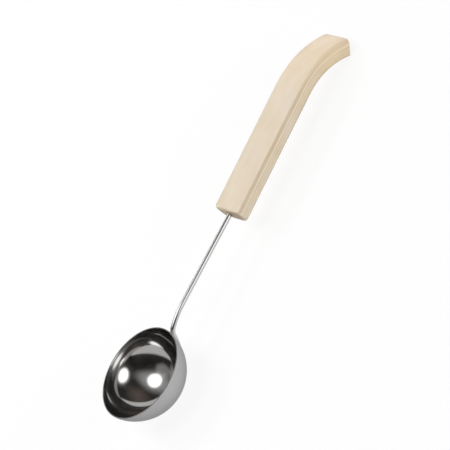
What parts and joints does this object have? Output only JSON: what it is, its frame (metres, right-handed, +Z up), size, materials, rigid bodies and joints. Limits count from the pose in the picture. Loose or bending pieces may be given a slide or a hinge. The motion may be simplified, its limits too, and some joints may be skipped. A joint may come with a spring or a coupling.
{
  "type": "sauna ladle",
  "caption": "Long-handled ladle for pouring water on sauna stones: a round steel bowl on a bent steel rod that runs into a flat wooden handle with a down-curved tip.",
  "frame": {"origin": "middle of the footprint on the surface that the ladle lies on, so z = 0 is that surface", "axes": "+X along the ladle from the bowl towards the handle's tip, +Y across it, +Z up, out of the bowl's mouth"},
  "size_m": [0.4218, 0.096, 0.0439],
  "materials": {
    "bowl_steel": "mirror polished inside, satin outside",
    "stem_steel": "polished",
    "weld_metal": "as welded, cleaned",
    "glue": "set clear glue",
    "handle_wood": "sanded, uncoated pale hardwood"
  },
  "bodies": {
    "root": {"bowl": "bowl_steel", "stem": "stem_steel", "weld_upper": "weld_metal", "weld_lower": "weld_metal", "glue_sleeve": "glue", "handle": "handle_wood"}
  },
  "joints": []
}
